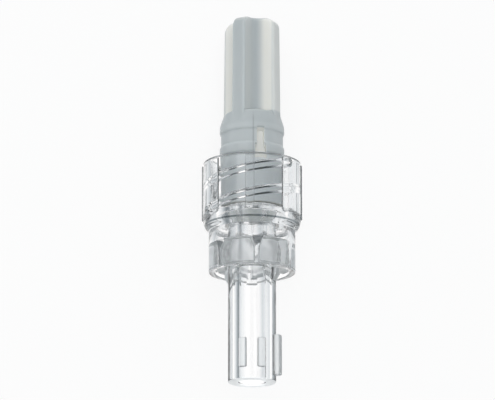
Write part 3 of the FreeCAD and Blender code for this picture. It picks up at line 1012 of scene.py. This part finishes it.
SOFTBOX_TILT = 14            # degrees off square to the axis, towards the cap
SOFTBOX_DISTANCE = 0.8
SOFTBOX_SIZE = 0.7
SOFTBOX_POWER = 3.6
CAMERA_TILT = 14.5           # degrees off square to the axis, towards the tube end
CAMERA_ROLL = -19.9          # degrees about the axis, from straight above
CAMERA_DISTANCE = 0.383
CAMERA_LENS = 287
CAMERA_AIM_STATION = 18.1    # where the picture's middle meets the axis
CAMERA_AIM_LEFT = 0.44


def direction(roll, tilt):
    """Outward from the axis at degrees about it, leaning by degrees towards the cap."""
    roll, tilt = math.radians(roll), math.radians(tilt)
    return Vector((math.cos(tilt) * math.sin(roll), math.sin(tilt), math.cos(tilt) * math.cos(roll)))


def placed(name, data):
    thing = bpy.data.objects.new(name, data)
    bpy.context.scene.collection.objects.link(thing)
    return thing


def camera():
    back = direction(CAMERA_ROLL, -CAMERA_TILT)
    right = Vector((0, 1, 0)).cross(back).normalized()
    up = back.cross(right)
    aim = Vector((0, CAMERA_AIM_STATION - HANDLE_TOP / 2, CUP_RADIUS)) - right * CAMERA_AIM_LEFT
    place = aim * MM + back * CAMERA_DISTANCE
    data = bpy.data.cameras.new("camera")
    data.lens = CAMERA_LENS
    data.clip_start = 0.01
    eye = placed("camera", data)
    eye.matrix_world = Matrix.Translation(place) @ Matrix((right, up, back)).transposed().to_4x4()
    bpy.context.scene.camera = eye


def floor_look():
    """Pale floor that reads white with a soft shadow; clear plastic shows the room in its place."""
    material, tree = new_tree("pale floor")
    camera_ray, glossy_ray, passing_ray, after_dull = [
        tree.node("ShaderNodeLightPath", output=name)
        for name in ("Is Camera Ray", "Is Glossy Ray", "Is Transmission Ray", "Diffuse Depth")]
    lit = tree.node("ShaderNodeBsdfDiffuse", {}, {"Color": (*FLOOR_COLOUR, 1)})
    glow = tree.node("ShaderNodeEmission", {}, {"Color": (1, 1, 1, 1), "Strength": 1.0})
    seen = tree.node("ShaderNodeMixShader", {}, (camera_ray * FLOOR_GLOW, lit, glow))
    open_floor = tree.node("ShaderNodeBsdfTransparent")
    by_plastic = tree.node("ShaderNodeMath", {"operation": "SUBTRACT", "use_clamp": True},
                           (glossy_ray + passing_ray, after_dull))
    surface = tree.node("ShaderNodeMixShader", {}, (by_plastic, seen, open_floor))
    tree.node("ShaderNodeOutputMaterial", {}, {"Surface": surface})
    return material


def floor():
    bm = bmesh.new()
    bmesh.ops.create_grid(bm, x_segments=1, y_segments=1, size=FLOOR_SIZE / 2)
    mesh = bpy.data.meshes.new("floor")
    bm.to_mesh(mesh)
    bm.free()
    mesh.materials.append(floor_look())
    placed("floor", mesh)


def room():
    """Surroundings: white underneath, dimmer low on the left, pale at both sides, dark above but
    for one pale strip on the left, and dimmer beyond the connector's ends.  Only clear plastic
    and reflections show them; the eye sees white and dull surfaces get one even light."""
    world = bpy.data.worlds.new("studio")
    bpy.context.scene.world = world
    world.cycles.sampling_method = "NONE"
    tree = Tree(world)
    across, lengthwise, up = tree.parts(tree.node("ShaderNodeTexCoord", output=0))
    angle = tree.maths("ARCTAN2", across, up * -1)
    share = tree.node("ShaderNodeMapRange", {}, {
        "Value": angle, "From Min": -math.pi, "From Max": math.pi})
    levels = tree.ramp(share, {
        (degrees + 180) / 360: (*[level * (1 - loss * (1 - level)) for loss in ROOM_COOLNESS], 1)
        for degrees, level in ROOM_LEVELS.items()})
    ends = tree.node("ShaderNodeMapRange", {"interpolation_type": "SMOOTHSTEP"}, {
        "Value": tree.maths("ABSOLUTE", lengthwise),
        "From Min": ROOM_ENDS_START, "From Max": ROOM_ENDS_FULL, "To Min": 1.0, "To Max": ROOM_ENDS})
    camera_ray = tree.node("ShaderNodeLightPath", output="Is Camera Ray")
    dull_steps = tree.node("ShaderNodeLightPath", output="Diffuse Depth")
    after_dull = tree.maths("MINIMUM", dull_steps, 1.0)
    in_plastic = tree.node("ShaderNodeBackground", {}, {"Color": levels, "Strength": ends})
    backdrop = tree.node("ShaderNodeBackground", {}, {"Color": (1, 1, 1, 1), "Strength": 1.0})
    soft_light = tree.node("ShaderNodeBackground", {}, {
        "Color": (*ROOM_LIGHT_COLOUR, 1), "Strength": ROOM_LIGHT})
    not_lit = tree.node("ShaderNodeMixShader", {}, (camera_ray, in_plastic, backdrop))
    seen = tree.node("ShaderNodeMixShader", {}, (after_dull, not_lit, soft_light))
    tree.node("ShaderNodeOutputWorld", {}, {"Surface": seen})


def light():
    """Large square lamp overhead that faces the connector and isn't seen in the plastic."""
    back = direction(SOFTBOX_ROLL, SOFTBOX_TILT)
    data = bpy.data.lights.new("overhead softbox", "AREA")
    data.size = SOFTBOX_SIZE
    data.energy = SOFTBOX_POWER
    softbox = placed("overhead softbox", data)
    softbox.location = back * SOFTBOX_DISTANCE
    softbox.rotation_euler = back.to_track_quat("Z", "Y").to_euler()
    softbox.visible_glossy = False
    softbox.visible_transmission = False


clear_body = clear_plastic("clear body plastic", BODY_TINTS, on_body)
clear_collar = clear_plastic("clear collar plastic", COLLAR_TINTS, on_collar)
milky_cap = milky_plastic("milky cap plastic")

finished("clear_luer_body", luer_body(), "body", "male_luer_body", clear_body)
finished("clear_threaded_collar", collar(), "collar", "spin_collar", clear_collar)
finished("milky_cross_cap", cap(), "cap", "protective_cap", milky_cap)

camera()
floor()
room()
light()
scene = bpy.context.scene
scene.view_settings.view_transform = "Standard"
scene.cycles.max_bounces = 32
scene.cycles.transmission_bounces = 24
scene.cycles.glossy_bounces = 8
